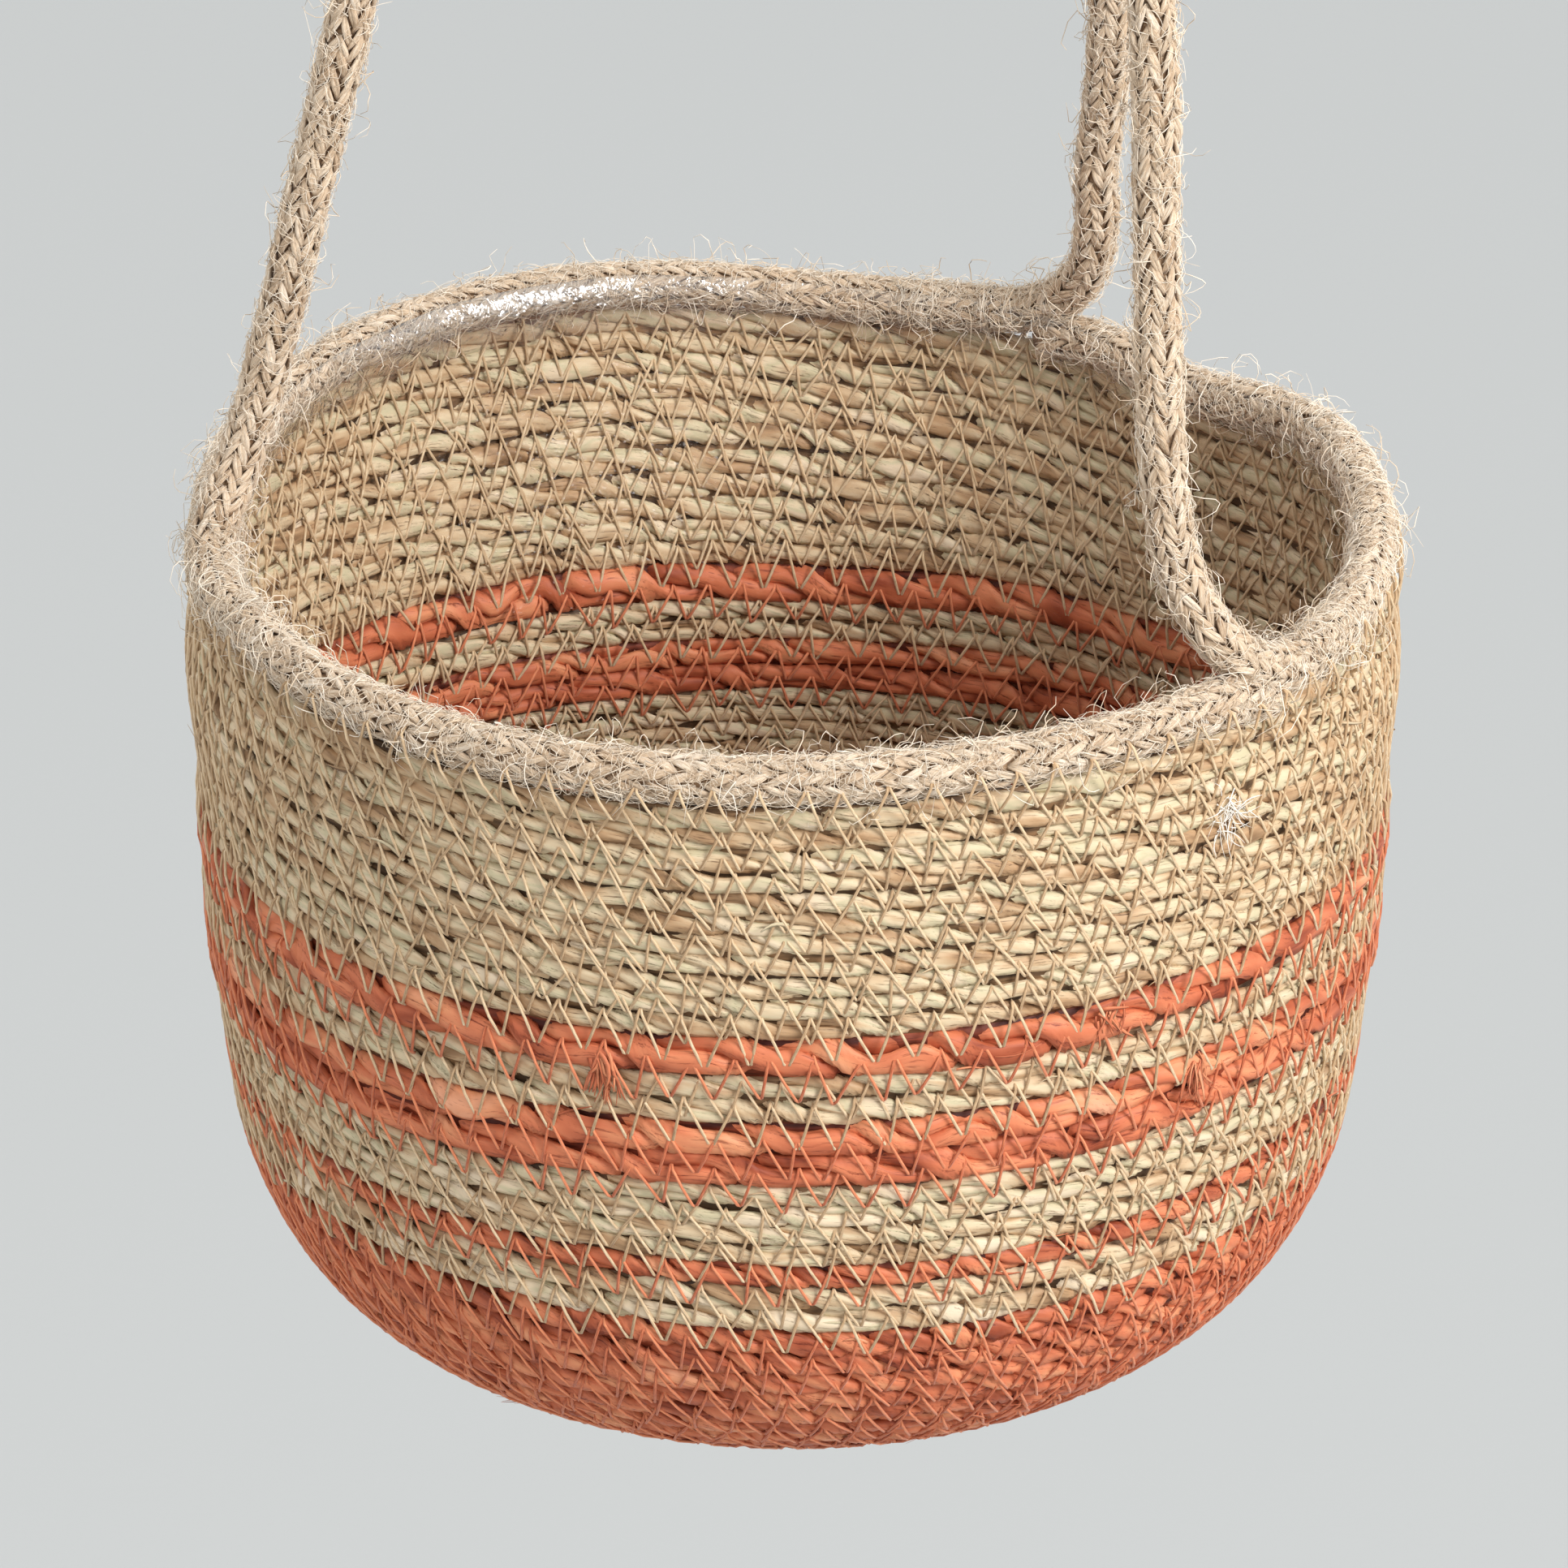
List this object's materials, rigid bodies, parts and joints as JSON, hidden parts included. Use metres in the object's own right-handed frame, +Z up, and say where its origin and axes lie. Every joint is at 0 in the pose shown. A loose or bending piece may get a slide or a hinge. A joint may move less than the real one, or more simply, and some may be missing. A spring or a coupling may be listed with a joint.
{
  "type": "hanging planter",
  "caption": "Hanging planter: a round basket coiled and sewn from seagrass cord in undyed and terracotta bands, carried by jute cords gathered in a knot and a hanging loop.",
  "frame": {"origin": "the bearing point under the top bend of the hanging loop, where the hook carries it", "axes": "+Z up along the hang, +X to the right and +Y away from the viewer in the picture"},
  "size_m": [0.1997, 0.1998, 0.6419],
  "materials": {
    "jute_cord": "thick jute cord, pale and hairy",
    "jute_twine": "thin jute twine wound close",
    "natural_seagrass": "twisted undyed seagrass cord, dry and slightly glossy, sewn with cream thread",
    "dyed_seagrass": "twisted seagrass cord dyed terracotta, sewn with orange thread",
    "clear_film": "thin clear film, creased"
  },
  "bodies": {
    "hanging_loop": {"hanging_loop": "jute_cord"},
    "top_knot": {"top_knot": "jute_cord"},
    "cord_whipping": {"cord_whipping": "jute_twine"},
    "planter": {"hanging_cord_left": "jute_cord", "hanging_cord_front": "jute_cord", "hanging_cord_back": "jute_cord", "rim_cord_front": "jute_cord", "rim_cord_right": "jute_cord", "rim_cord_back": "jute_cord", "upper_natural_rows": "natural_seagrass", "upper_terracotta_row": "dyed_seagrass", "narrow_natural_rows": "natural_seagrass", "double_terracotta_rows": "dyed_seagrass", "middle_natural_rows": "natural_seagrass", "lower_terracotta_row": "dyed_seagrass", "lower_natural_rows": "natural_seagrass", "terracotta_base": "dyed_seagrass", "liner_film": "clear_film"}
  },
  "joints": [
    {"name": "sway_sideways", "type": "hinge", "parent": "hanging_loop", "child": "top_knot", "pos_m": [0, 0, -0.0574], "axis": [0, 1, 0], "range_deg": [-30, 30]},
    {"name": "sway_to_and_fro", "type": "hinge", "parent": "top_knot", "child": "cord_whipping", "pos_m": [0, 0, -0.0574], "axis": [1, 0, 0], "range_deg": [-30, 30]},
    {"name": "turn_on_cords", "type": "hinge", "parent": "cord_whipping", "child": "planter", "pos_m": [0, 0, -0.0928], "axis": [0, 0, 1], "range_deg": [-180, 180]}
  ]
}
